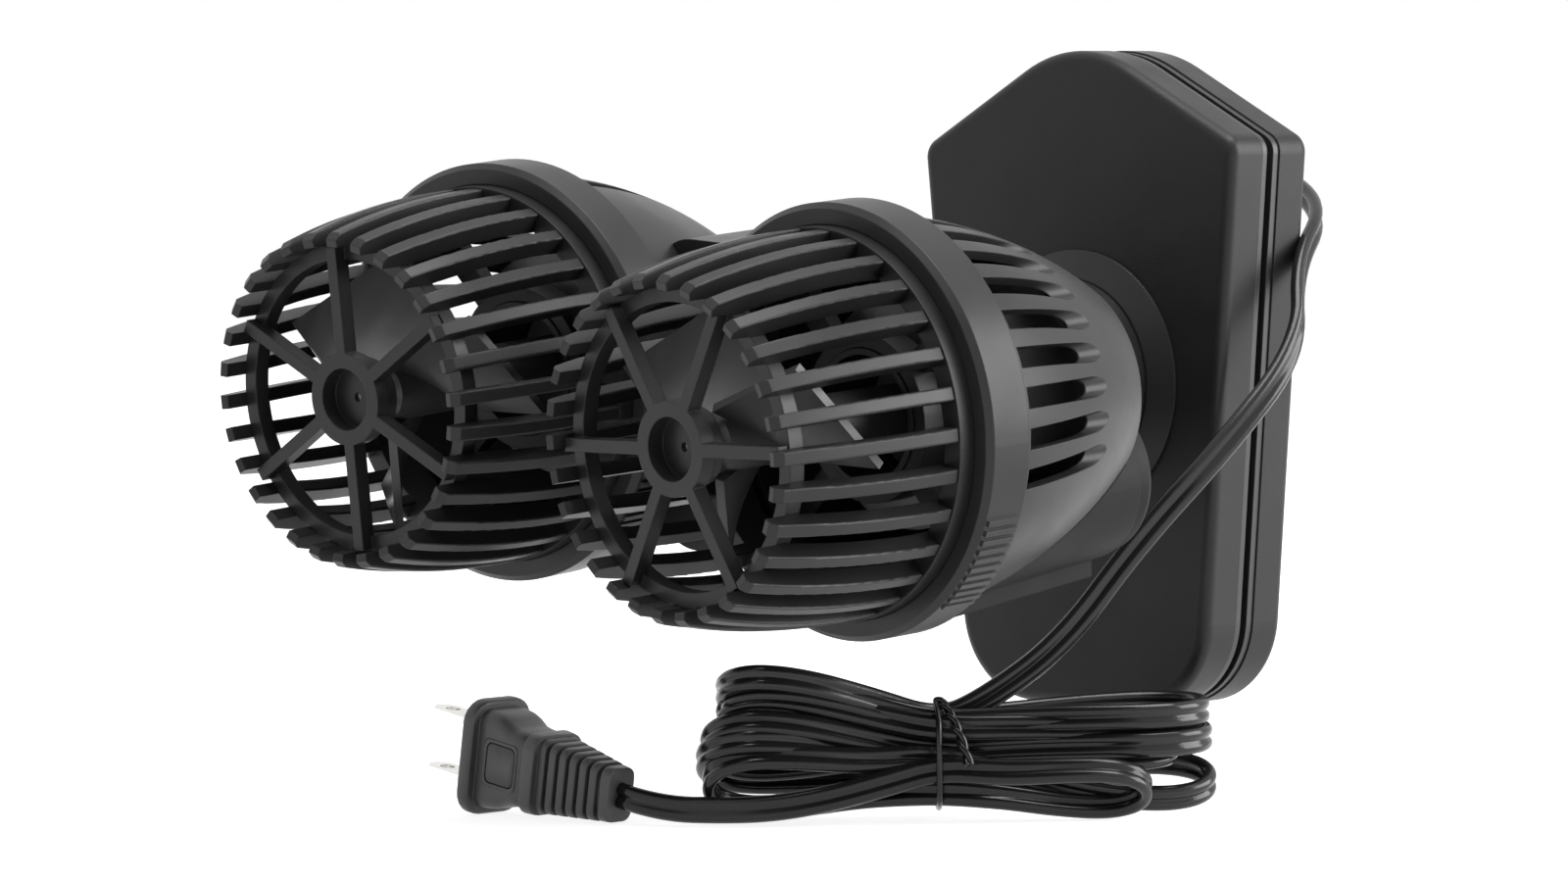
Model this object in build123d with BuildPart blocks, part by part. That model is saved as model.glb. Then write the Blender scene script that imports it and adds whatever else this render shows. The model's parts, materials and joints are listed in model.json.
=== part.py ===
from build123d import *
import os
from math import cos, pi, radians, sin, sqrt, tan

# Twin-head circulation pump on a two-half magnetic glass mount, with its mains cord.
# Millimetres, +Z up. The origin lies in the glass plane between the two halves of the
# mount, level with the ball joint. The heads stand out along -Y.

# ---------------------------------------------------------------- driving dimensions
# Magnetic mount: both halves share one outline.
BASE_WIDTH = 90.0
FOOT_WIDTH = 68.0
SHOULDER_Z = 51.3
PEAK_RISE = 24.2
FOOT_Z = -69.8
FOOT_RADIUS = 20.0
SHOULDER_RADIUS = 4.5
PEAK_RADIUS = 32.0
SMALLEST_CORNER = 1.0
SHELL_DEPTH = 9.8
SHELL_WALL = 2.2
FACE_WALL = 2.4
SHELL_EDGE = 2.5
PLATE_THICK = 1.8
PLATE_INSET = 0.35
PLATE_RIM_HEIGHT = 1.6
PLATE_RIM_WALL = 1.6
PAD_THICK = 1.0
PAD_INSET = 5.0
MAGNET_WIDTH = 50.0
MAGNET_HEIGHT = 30.0
MAGNET_AWAY = 38.0
MAGNET_CORNER = 2.0

# Ball joint on the front of the wet half.
BALL_STANDOFF = 8.0
BALL_RADIUS = 11.0
LINER_WALL = 1.05
FLANGE_RADIUS = 28.4
FLANGE_THICK = 3.0
FLANGE_EDGE = 0.6
NUT_RADIUS = 22.3
NUT_FRONT_RADIUS = 20.6
NUT_LENGTH = 13.2
NUT_TAPER_LENGTH = 6.0
NECK_RADIUS = 18.0
BOSS_RADIUS = 16.5
BOSS_DEPTH = 5.8
MOUTH_ANGLE = 56.0
MOUTH_RADIUS = 11.0
MOUTH_SHARE = 0.9
LINER_SLIT = 1.4
STEM_RADIUS = 6.0
STEM_BORE = 2.2
FLANGE_SCREWS = 4
FLANGE_SCREW_CIRCLE = 20.4
FLANGE_SCREW_START = 45.0
SMALL_SCREW_RADIUS = 1.1
SMALL_HEAD_RADIUS = 2.1
SMALL_HEAD_HEIGHT = 1.5
SMALL_SCREW_BITE = 1.9

# Carriage: how the pair of heads hangs on the ball at rest.
DROOP = 4.7
LEAN = 5.1
HEAD_SPACING = 98.1
HEAD_RISE = 11.0
# The heads' axes close in ahead of the collars.
HEAD_TOE = 3.0
TOE_REACH = 113.0

# Rear housing of a head. Distances along a head are reaches, from the ball's centre.
HOUSING_REAR = 54.0
HOUSING_FRONT = 108.0
HOUSING_RADIUS = 40.6
HOUSING_ARC = 125.0
HOUSING_LEAN = 6.0
HOUSING_WALL = 2.2
HOUSING_NOSE = 5.0
SPIGOT_LENGTH = 3.2
SPIGOT_STEP = 1.4
SLOT_WIDTH = 4.2
SLOT_DEPTH_RADIUS = 32.5
SLOT_FRONT = 104.5
SLOT_COUNT = 11
SLOT_PITCH = 11.5
SLOT_START = -12.0

# Collar that locks the cage on, and the cage itself.
COLLAR_PROUD = 2.9
COLLAR_LENGTH = 10.7
COLLAR_CHAMFER = 1.2
GRIP_RIDGES = 11
GRIP_PITCH = 2.9
GRIP_PROUD = 0.5
GRIP_WIDTH = 1.2
GRIP_ANGLE = -35.0
SEAL_THICK = 1.3
SEAL_WIDTH = 2.2
CAGE_RING_WALL = 4.4
CAGE_RING_LENGTH = 9.7
CAGE_LENGTH = 52.5
CAGE_TIP_RADIUS = 34.2
CAGE_BELLY = 1.4
RIB_COUNT = 30
RIB_PHASES = {"left": 6.0, "right": 3.7}
RIB_WIDTH = 2.8
RIB_DEPTH = 4.4
RIB_EDGE = 0.35
LUG_COUNT = 3
LUG_HEIGHT = 1.1
LUG_LENGTH = 9.0
LUG_THICK = 2.0
LUG_START = 90.0
FRONT_RING_RADIUS = 31.2
FRONT_RING_WALL = 3.0
FRONT_RING_DEPTH = 3.6
FRONT_RING_BACK = 6.2
SPOKE_COUNT = 6
SPOKE_STARTS = {"left": 36.0, "right": 5.0}
SPOKE_WIDTH = 2.6
SPOKE_DEPTH = 3.4
SPOKE_SHY = 3.0
HUB_RADIUS = 9.4
HUB_CUP_RADIUS = 6.3
HUB_DEPTH = 7.0
HUB_CUP_DEPTH = 3.8
HUB_PILOT_RADIUS = 0.9
HUB_PILOT_DEPTH = 1.0
HUB_NECK_WALL = 1.6

# Drive inside a head.
CAN_RADIUS = 14.0
CAN_WALL = 1.3
CAN_FRONT = 111.0
SHAFT_RADIUS = 1.5
BUSH_RADIUS = 4.0
BUSH_LENGTH = 4.0
ROTOR_RADIUS = 12.2
ROTOR_LENGTH = 34.0
SLEEVE_RADIUS = 3.2
STATOR_RADIUS = 21.0
STATOR_LENGTH = 24.0
COIL_RADIUS = 23.5
COIL_LENGTH = 6.0
STATOR_REAR = 64.0
SPIDER_REAR = 104.0
SPIDER_LENGTH = 6.6
SPIDER_RING_WALL = 2.3
SPIDER_HUB_WALL = 2.9
SPIDER_ARMS = 4
SPIDER_START = 45.0
SPIDER_ARM_WIDTH = 5.0
SPIDER_ARM_DEPTH = 3.5
IMPELLER_HUB_RADIUS = 6.0
BLADE_COUNT = 3
BLADE_RADIUS = 27.0
BLADE_CHORD = 27.0
BLADE_THICK = 1.8
BLADE_ROOT_PITCH = 28.0
BLADE_TIP_PITCH = 52.0
BLADE_CENTRE = 142.0
BLADE_START = 15.0

# Barrel under each head, with its end cap.
BARREL_INSET = 21.6
BARREL_REAR = 50.0
BARREL_FRONT = 107.0
BARREL_REAR_RADIUS = 17.0
BARREL_FRONT_RADIUS = 21.5
BARREL_PLUG_RADIUS = 12.0
BARREL_PLUG_DEPTH = 3.0
CAP_THICK = 5.0
CAP_RADIUS = 16.2
CAP_FILLET = 2.0
KEEL_WIDTH = 12.0
KEEL_REAR = 53.0
KEEL_FRONT = 105.0
KEEL_DEPTH = 2.4

# Bridge between the two heads.
BRIDGE_WIDTH = 58.0
BRIDGE_REAR = 46.0
BRIDGE_FRONT = 92.0
BRIDGE_TOP = 39.0
BRIDGE_BOTTOM = -26.0
BRIDGE_CORNER = 12.0
BRIDGE_EDGE = 8.0
BRIDGE_POCKET_RADIUS = 8.2
BRIDGE_POCKET_REAR = 70.0
PLUG_DISC_THICK = 4.0
PLUG_DISC_RECESS = 2.0
PLUG_SLOT_WIDTH = 2.0
CLIP_THICK = 1.1
CLIP_RADIUS = 7.8
CLIP_OPENING = 7.0
GROOVE_DEPTH = 0.8
STEM_TIP = 2.0
SCREW_RADIUS = 1.6
SCREW_HEAD_RADIUS = 3.2
SCREW_HEAD_HEIGHT = 2.6
SCREW_LENGTH = 26.0
SCREW_SEAT = 56.0
SCREW_ACROSS = 24.0
SCREW_AWAY = 19.0
SCREW_BOSS_RADIUS = 3.6
SCREW_BOSS_END = 87.0

# Mains cord: gland, run, hank, tie, lead and plug.
CORD_WIDTH = 5.6
FLOOR_Z = -90.0
GLAND_Z = 20.0
GLAND_RADIUS = 3.3
GLAND_COLLAR_RADIUS = 3.6
GLAND_COLLAR_LENGTH = 2.4
GLAND_NECK_RADIUS = 3.4
GLAND_TIP_RADIUS = 3.0
GLAND_LENGTH = 20.0
HANK_AZIMUTH = 44.45
HANK_MIDDLE = (10.9, -62.5)
HANK_CORNER = 6.0
# Sections along the hank: shift from its middle, depth, low and high edge above the floor.
HANK_SECTIONS = [
    (-55.5, 14.0, 3.0, 23.0),
    (-50.0, 26.0, 0.4, 30.0),
    (-36.0, 30.0, 0.0, 35.0),
    (-19.0, 27.0, 1.0, 28.0),
    (-6.5, 20.0, 4.3, 23.7),
    (-3.5, 20.0, 4.3, 23.7),
    (16.0, 28.0, 2.0, 26.0),
    (36.0, 30.0, 0.2, 27.0),
    (46.0, 28.0, 0.0, 27.0),
    (53.0, 14.0, 4.0, 21.0),
]
TIE_WIDTH = 1.8
TIE_THICK = 1.3
PLUG_TIP = (-41.0, -112.0)
PLUG_SLOPE = 9.5
PLUG_HEIGHT = 25.0
PLUG_WIDTH = 17.5
PLUG_CORNER = 5.0
PLUG_FLANGE_THICK = 3.2
PLUG_GRIP_LENGTH = 15.0
PLUG_GRIP_HEIGHT = 21.7
PLUG_GRIP_END_HEIGHT = 16.0
PLUG_GRIP_WIDTH = 13.0
PLUG_GRIP_CORNER = 3.0
# Heights of the grip along its length: share of the length, height.
PLUG_GRIP_WAIST = (0.35, 17.0)
PLUG_GRIP_SHOULDER = (0.65, 21.1)
RELIEF_LENGTH = 22.8
RELIEF_COLLAR_LENGTH = 3.0
RELIEF_COLLAR_HEIGHT = 17.8
RELIEF_COLLAR_WIDTH = 15.0
RELIEF_COLLAR_CORNER = 3.5
RELIEF_CORE_HEIGHT = 9.0
RELIEF_CORE_WIDTH = 6.5
RELIEF_RING_HEIGHT = 17.0
RELIEF_RING_WIDTH = 12.6
RELIEF_RING_TAPER = 0.7
RELIEF_CORNER = 2.5
RELIEF_RINGS = 6
RELIEF_RING_LENGTH = 1.8
RELIEF_END_LENGTH = 2.4
BLADE_SPACING = 12.7
PIN_WIDTH = 6.35
PIN_THICK = 1.5
PIN_REACH = 16.5
PIN_ROOT = 6.0
PIN_NOSE = 2.0
PIN_HOLE_RADIUS = 1.6
PIN_HOLE_FROM_TIP = 4.4
# Route of the cord from its gland to the hank, and from the hank to the plug.
RUN_ROUTE = [
    (-80.0, -5.5, 20.8),
    (-94.5, 7.5, 24.2),
    (-92.0, 27.0, 28.5),
    (-77.0, 38.5, 32.0),
    (-58.0, 43.5, 36.0),
    (-39.0, 43.5, 39.0),
    (-7.0, 40.0, 43.5),
    (24.0, 40.5, 44.5),
    (47.0, 32.0, 37.0),
    (52.0, 12.0, 24.0),
    (52.5, -6.0, 5.0),
    (50.0, -22.5, -12.0),
    (38.5, -35.5, -35.0),
    (26.0, -47.0, -54.5),
    (14.5, -58.5, -65.0),
]
RUN_END = (5.5, -67.0, -69.0)
LEAD_ROUTE = [(-30.5, -111.0, -85.4)]
LEAD_END = (-18.5, -103.0, -85.2)

# Clearances.
RUNNING = 0.05
SLIDING = 0.1
LOOSE = 0.3
CUT = 1.0

# ------------------------------------------------------------------ derived places
HALF_DEPTH = PAD_THICK + PLATE_THICK + SHELL_DEPTH
SHELL_BACK = PAD_THICK + PLATE_THICK
POCKET_DEPTH = SHELL_DEPTH - FACE_WALL
BALL_Y = -(HALF_DEPTH + BALL_STANDOFF)
BALL_POINT = (0, BALL_Y, 0)
LINER_INNER = BALL_RADIUS + RUNNING
LINER_OUTER = LINER_INNER + LINER_WALL
CUP_RADIUS = LINER_OUTER + SLIDING
FLANGE_FRONT = FLANGE_THICK - BALL_STANDOFF
NUT_FRONT = FLANGE_FRONT + LOOSE + NUT_LENGTH
MOUTH_REACH = CUP_RADIUS * cos(radians(MOUTH_ANGLE))
COLLAR_BORE = HOUSING_RADIUS - SPIGOT_STEP
COLLAR_RADIUS = HOUSING_RADIUS + COLLAR_PROUD
BARREL_DROP = HOUSING_RADIUS - BARREL_INSET
SPIGOT_FRONT = HOUSING_FRONT + SPIGOT_LENGTH
COLLAR_REAR = HOUSING_FRONT + SLIDING
COLLAR_FRONT = COLLAR_REAR + COLLAR_LENGTH
SEAL_FRONT = SPIGOT_FRONT + SEAL_THICK
CAGE_REAR = SEAL_FRONT + LOOSE
CAGE_RADIUS = COLLAR_BORE - SLIDING
CAGE_RING_FRONT = CAGE_REAR + CAGE_RING_LENGTH
CAGE_FRONT = CAGE_REAR + CAGE_LENGTH
SPOKE_FRONT = CAGE_FRONT - SPOKE_SHY
HUB_BACK = SPOKE_FRONT - HUB_DEPTH
HUB_FLOOR_FRONT = SPOKE_FRONT - HUB_CUP_DEPTH
SHAFT_SEAT = HUB_FLOOR_FRONT - HUB_PILOT_DEPTH
HUB_NECK = HUB_CUP_RADIUS + HUB_NECK_WALL
FRONT_RING_REAR = SPOKE_FRONT - FRONT_RING_BACK
LUG_REAR = CAGE_REAR + LOOSE
SPIGOT_INNER = COLLAR_BORE - RUNNING - HOUSING_WALL
CAN_REAR = HOUSING_REAR + HOUSING_WALL + LOOSE
CAN_FLOOR = CAN_REAR + CAN_WALL
ROTOR_REAR = CAN_FLOOR + BUSH_LENGTH + 2 * LOOSE
ROTOR_FRONT = ROTOR_REAR + ROTOR_LENGTH
IMPELLER_FRONT = HUB_BACK - LOOSE
SHAFT_FRONT = SHAFT_SEAT - LOOSE
CLIP_REAR = BRIDGE_POCKET_REAR + SLIDING
STEM_FRONT = CLIP_REAR + CLIP_THICK + STEM_TIP
CORD_RADIUS = CORD_WIDTH / 2

GLAND_Y = -(SHELL_BACK + (SHELL_DEPTH - SHELL_EDGE) / 2)

ball_plane = Plane(origin=BALL_POINT, x_dir=(1, 0, 0), z_dir=(0, -1, 0))
carriage = Plane(
    origin=BALL_POINT,
    x_dir=Vector(1, 0, 0).rotate(Axis.Y, LEAN).rotate(Axis.X, DROOP),
    z_dir=Vector(0, -1, 0).rotate(Axis.X, DROOP),
)
SIDES = {"left": -1, "right": 1}
STANDING = (Align.CENTER, Align.CENTER, Align.MIN)
HANGING = (Align.CENTER, Align.CENTER, Align.MAX)

os.makedirs("parts", exist_ok=True)


def save(part, label):
    """Label a finished piece and write it to its own file."""
    part.label = label
    export_step(part, f"parts/{label}.step")


def side_view(axis_plane):
    """Plane for a turned profile: x is the radius, y the reach along the axis."""
    return Plane(axis_plane.origin, x_dir=axis_plane.x_dir, z_dir=-axis_plane.y_dir)


def turned(axis_plane, points):
    """Solid of revolution of a closed outline of (radius, reach) points."""
    with BuildSketch(side_view(axis_plane)) as outline:
        with BuildLine():
            Polyline(*points, close=True)
        make_face()
    return revolve(outline.sketch, axis=Axis(axis_plane.origin, axis_plane.z_dir), mode=Mode.PRIVATE)


def tube_points(outer, inner, rear, front):
    """Outline of a plain ring."""
    return [(inner, rear), (outer, rear), (outer, front), (inner, front)]


# ------------------------------------------------------------------- magnetic mount
def half_plane(side, depth):
    """Plane of a mount half, facing away from the glass: side 1 is wet, -1 is dry."""
    return Plane(origin=(0, -side * depth, 0), x_dir=(side, 0, 0), z_dir=(0, -side, 0))


def mount_outline(plane, inset):
    """Outline of a mount half: a tapering foot, two shoulders and a rounded peak."""
    with BuildSketch(plane) as outline:
        with BuildLine():
            Polyline(
                (-FOOT_WIDTH / 2, FOOT_Z),
                (FOOT_WIDTH / 2, FOOT_Z),
                (BASE_WIDTH / 2, SHOULDER_Z),
                (0, SHOULDER_Z + PEAK_RISE),
                (-BASE_WIDTH / 2, SHOULDER_Z),
                close=True,
            )
        make_face()
        if inset:
            offset(amount=-inset, kind=Kind.INTERSECTION, mode=Mode.REPLACE)
        foot = outline.vertices().group_by(Axis.Y)[0]
        fillet(foot, max(FOOT_RADIUS - inset, SMALLEST_CORNER))
        peak = outline.vertices().sort_by(Axis.Y)[-1]
        fillet(peak, max(PEAK_RADIUS - inset, SMALLEST_CORNER))
        across = outline.vertices().group_by(Axis.X)
        fillet(across[0] + across[-1], max(SHOULDER_RADIUS - inset, SMALLEST_CORNER))
    return outline.sketch


def half_width(height):
    """Half the width of the mount at a height between its foot and its shoulders."""
    share = (height - FOOT_Z) / (SHOULDER_Z - FOOT_Z)
    return (FOOT_WIDTH + (BASE_WIDTH - FOOT_WIDTH) * share) / 2


def mount_shell(side):
    """Cover of one half: a tray that is open towards the glass."""
    back = half_plane(side, SHELL_BACK)
    with BuildPart() as shell:
        extrude(mount_outline(back, 0), amount=SHELL_DEPTH)
        face = shell.faces().sort_by(Axis(BALL_POINT, (0, -side, 0)))[-1]
        fillet(face.edges(), SHELL_EDGE)
        extrude(mount_outline(back, SHELL_WALL), amount=POCKET_DEPTH, mode=Mode.SUBTRACT)
    return shell.part


def mount_plate(side):
    """Back plate, with a rim that locates it inside the shell."""
    rim_inset = SHELL_WALL + SLIDING
    with BuildPart() as plate:
        extrude(mount_outline(half_plane(side, PAD_THICK), PLATE_INSET), amount=PLATE_THICK)
        rim_plane = half_plane(side, SHELL_BACK)
        extrude(mount_outline(rim_plane, rim_inset), amount=PLATE_RIM_HEIGHT)
        inside = rim_inset + PLATE_RIM_WALL
        extrude(mount_outline(rim_plane, inside), amount=PLATE_RIM_HEIGHT, mode=Mode.SUBTRACT)
    return plate.part


def mount_pad(side):
    """Soft pad that touches the glass."""
    with BuildPart() as pad:
        extrude(mount_outline(half_plane(side, 0), PAD_INSET), amount=PAD_THICK)
    return pad.part


def mount_magnets(side):
    """Two block magnets, one above and one below the ball joint."""
    with BuildPart() as magnets:
        with BuildSketch(half_plane(side, SHELL_BACK)):
            with Locations((0, MAGNET_AWAY), (0, -MAGNET_AWAY)):
                RectangleRounded(MAGNET_WIDTH, MAGNET_HEIGHT, MAGNET_CORNER)
        extrude(amount=POCKET_DEPTH - LOOSE)
    return magnets.part


gland_plane = Plane(
    origin=(-half_width(GLAND_Z + GLAND_COLLAR_RADIUS), GLAND_Y, GLAND_Z),
    x_dir=(0, -1, 0),
    z_dir=(-1, 0, 0),
)
flange_back = ball_plane.offset(-BALL_STANDOFF)

with BuildPart() as wet_shell:
    add(mount_shell(1))
    with Locations(flange_back):
        Cylinder(BOSS_RADIUS + SLIDING, 2 * FACE_WALL + CUT, mode=Mode.SUBTRACT)
        with PolarLocations(FLANGE_SCREW_CIRCLE, FLANGE_SCREWS, FLANGE_SCREW_START):
            Cylinder(SMALL_SCREW_RADIUS + RUNNING, 2 * FACE_WALL + CUT, mode=Mode.SUBTRACT)
    with Locations(gland_plane):
        Cylinder(GLAND_RADIUS + RUNNING, 4 * SHELL_WALL, mode=Mode.SUBTRACT)
save(wet_shell.part, "wet_shell")

with BuildPart() as wet_plate:
    add(mount_plate(1))
    with Locations(gland_plane.offset(-SHELL_WALL)):
        Cylinder(GLAND_RADIUS + LOOSE, 4 * PLATE_RIM_WALL, mode=Mode.SUBTRACT)
save(wet_plate.part, "wet_plate")

save(mount_shell(-1), "dry_shell")
save(mount_plate(-1), "dry_plate")
for name, side in {"wet": 1, "dry": -1}.items():
    save(mount_pad(side), f"{name}_pad")
    save(mount_magnets(side), f"{name}_magnets")

# ------------------------------------------------------------------------ ball joint
with BuildPart() as socket_flange:
    add(turned(ball_plane, [
        (0, -BALL_STANDOFF - BOSS_DEPTH),
        (BOSS_RADIUS, -BALL_STANDOFF - BOSS_DEPTH),
        (BOSS_RADIUS, -BALL_STANDOFF),
        (FLANGE_RADIUS, -BALL_STANDOFF),
        (FLANGE_RADIUS, -BALL_STANDOFF + FLANGE_EDGE),
        (NUT_RADIUS + LOOSE, FLANGE_FRONT),
        (NECK_RADIUS, FLANGE_FRONT),
        (NECK_RADIUS, 0),
        (0, 0),
    ]))
    with Locations(ball_plane):
        Sphere(CUP_RADIUS, mode=Mode.SUBTRACT)
    with Locations(flange_back):
        with PolarLocations(FLANGE_SCREW_CIRCLE, FLANGE_SCREWS, FLANGE_SCREW_START):
            Cylinder(
                SMALL_SCREW_RADIUS + RUNNING, SMALL_SCREW_BITE + SLIDING,
                align=STANDING, mode=Mode.SUBTRACT,
            )
save(socket_flange.part, "socket_flange")

with BuildPart() as flange_screws:
    with Locations(flange_back.offset(-FACE_WALL)):
        with PolarLocations(FLANGE_SCREW_CIRCLE, FLANGE_SCREWS, FLANGE_SCREW_START):
            Cylinder(SMALL_SCREW_RADIUS, FACE_WALL + SMALL_SCREW_BITE, align=STANDING)
            Cylinder(SMALL_HEAD_RADIUS, SMALL_HEAD_HEIGHT, align=HANGING)
save(flange_screws.part, "flange_screws")

with BuildPart() as socket_nut:
    nut_rear = FLANGE_FRONT + LOOSE
    add(turned(ball_plane, [
        (0, nut_rear),
        (NUT_RADIUS, nut_rear),
        (NUT_RADIUS, NUT_FRONT - NUT_TAPER_LENGTH),
        (NUT_FRONT_RADIUS, NUT_FRONT),
        (0, NUT_FRONT),
    ]))
    with Locations(ball_plane):
        Cylinder(NECK_RADIUS + SLIDING, 2 * abs(nut_rear), mode=Mode.SUBTRACT)
        Sphere(CUP_RADIUS, mode=Mode.SUBTRACT)
    add(turned(ball_plane, [
        (0, 0),
        (CUP_RADIUS * sin(radians(MOUTH_ANGLE)) * MOUTH_SHARE, 0),
        (CUP_RADIUS * sin(radians(MOUTH_ANGLE)), MOUTH_REACH),
        (MOUTH_RADIUS, NUT_FRONT + CUT),
        (0, NUT_FRONT + CUT),
    ]), mode=Mode.SUBTRACT)
save(socket_nut.part, "socket_nut")

with BuildPart() as ball_liner:
    with Locations(ball_plane):
        Sphere(LINER_OUTER)
        Sphere(LINER_INNER, mode=Mode.SUBTRACT)
    with Locations(ball_plane.offset(LINER_OUTER * cos(radians(MOUTH_ANGLE)))):
        Cylinder(LINER_OUTER, LINER_OUTER, align=STANDING, mode=Mode.SUBTRACT)
    with Locations(Plane(ball_plane.origin, x_dir=ball_plane.x_dir, z_dir=ball_plane.y_dir)):
        Box(LINER_SLIT, 3 * LINER_OUTER, 2 * LINER_OUTER, align=STANDING, mode=Mode.SUBTRACT)
save(ball_liner.part, "ball_liner")

with BuildPart() as ball_stem:
    with Locations(carriage):
        Sphere(BALL_RADIUS)
        Cylinder(STEM_RADIUS, STEM_FRONT, align=STANDING)
    with Locations(carriage.offset(-BALL_RADIUS)):
        Cylinder(STEM_BORE, BALL_RADIUS + STEM_FRONT, align=STANDING, mode=Mode.SUBTRACT)
    add(turned(carriage, tube_points(
        STEM_RADIUS + CUT, STEM_RADIUS - GROOVE_DEPTH,
        CLIP_REAR - RUNNING, CLIP_REAR + CLIP_THICK + RUNNING,
    )), mode=Mode.SUBTRACT)
save(ball_stem.part, "ball_stem")

with BuildPart() as stem_clip:
    add(turned(carriage, tube_points(
        CLIP_RADIUS, STEM_RADIUS - GROOVE_DEPTH + RUNNING, CLIP_REAR, CLIP_REAR + CLIP_THICK,
    )))
    with Locations(carriage.offset(CLIP_REAR)):
        with Locations((0, -CLIP_RADIUS)):
            Box(CLIP_OPENING, 2 * STEM_RADIUS, 2 * CLIP_THICK, mode=Mode.SUBTRACT)
save(stem_clip.part, "stem_clip")


# ------------------------------------------------------------------------- the heads
def toed_plane(side, rise):
    """Plane square to a toed-in axis, level with the ball: side 1 is right, -1 is left."""
    toe = radians(HEAD_TOE)
    out = HEAD_SPACING / 2 + TOE_REACH * tan(toe)
    return Plane(
        carriage.from_local_coords(Vector(side * out, rise, 0)),
        x_dir=carriage.x_dir * cos(toe) + carriage.z_dir * side * sin(toe),
        z_dir=carriage.z_dir * cos(toe) - carriage.x_dir * side * sin(toe),
    )


def head_plane(side):
    """Plane square to a head's axis."""
    return toed_plane(side, HEAD_RISE)


def barrel_plane(side):
    """Plane square to the axis of the barrel under a head."""
    return toed_plane(side, HEAD_RISE - BARREL_DROP)


def housing_radius(reach, inset=0.0):
    """Radius of the rear housing's bell, an arc that is nearly upright at the collar."""
    centre_radius = HOUSING_RADIUS - HOUSING_ARC * cos(radians(HOUSING_LEAN))
    centre_reach = HOUSING_FRONT + HOUSING_ARC * sin(radians(HOUSING_LEAN))
    return centre_radius + sqrt((HOUSING_ARC - inset) ** 2 - (reach - centre_reach) ** 2)


def bell(head, inset, rear, front):
    """Solid bell of the rear housing, drawn in by an inset, between two reaches."""
    middle = (rear + front) / 2
    rim = [(housing_radius(reach, inset), reach) for reach in (rear, middle, front)]
    with BuildSketch(side_view(head)) as outline:
        with BuildLine():
            ThreePointArc(*rim)
            Polyline(rim[2], (0, front), (0, rear), rim[0])
        make_face()
    return revolve(outline.sketch, axis=Axis(head.origin, head.z_dir), mode=Mode.PRIVATE)


def rear_housing(side):
    """Slotted bell behind the collar, with a spigot in front and two screw bosses."""
    head = head_plane(side)
    across = side * SCREW_ACROSS
    boss_places = [(across, HEAD_RISE + SCREW_AWAY), (across, HEAD_RISE - SCREW_AWAY)]
    slot_sweep = SLOT_PITCH * (SLOT_COUNT - 1)
    slot_start = SLOT_START if side > 0 else 180 - SLOT_START - slot_sweep
    with BuildPart() as cavity:
        add(bell(head, HOUSING_WALL, HOUSING_REAR + HOUSING_WALL, SPIDER_REAR))
        with Locations(carriage.offset(SCREW_SEAT)):
            with Locations(*boss_places):
                Cylinder(
                    SCREW_BOSS_RADIUS, SCREW_BOSS_END - SCREW_SEAT,
                    align=STANDING, mode=Mode.SUBTRACT,
                )
    with BuildPart() as housing:
        add(bell(head, 0, HOUSING_REAR, HOUSING_FRONT))
        fillet(housing.edges().sort_by(Axis(head.origin, head.z_dir))[0], HOUSING_NOSE)
        with Locations(head.offset(HOUSING_FRONT)):
            Cylinder(COLLAR_BORE - RUNNING, SPIGOT_LENGTH, align=STANDING)
        add(cavity.part, mode=Mode.SUBTRACT)
        with Locations(head.offset(SPIDER_REAR)):
            Cylinder(SPIGOT_INNER, SPIGOT_FRONT, align=STANDING, mode=Mode.SUBTRACT)
        with Locations(carriage.offset(SCREW_SEAT)):
            with Locations(*boss_places):
                Cylinder(
                    SCREW_RADIUS + RUNNING, SCREW_LENGTH + LOOSE,
                    align=STANDING, mode=Mode.SUBTRACT,
                )
        with Locations(head.offset(HOUSING_REAR + HOUSING_NOSE)):
            with PolarLocations(0, SLOT_COUNT, slot_start, slot_sweep, endpoint=True):
                slot_length = SLOT_FRONT - HOUSING_REAR - HOUSING_NOSE
                slot_floor = SLOT_DEPTH_RADIUS + SLOT_WIDTH / 2
                with Locations((slot_floor, 0)):
                    Cylinder(
                        SLOT_WIDTH / 2, slot_length, align=STANDING, mode=Mode.SUBTRACT
                    )
                    Box(
                        HOUSING_RADIUS, SLOT_WIDTH, slot_length,
                        align=(Align.MIN, Align.CENTER, Align.MIN), mode=Mode.SUBTRACT,
                    )
    return housing.part


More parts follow.
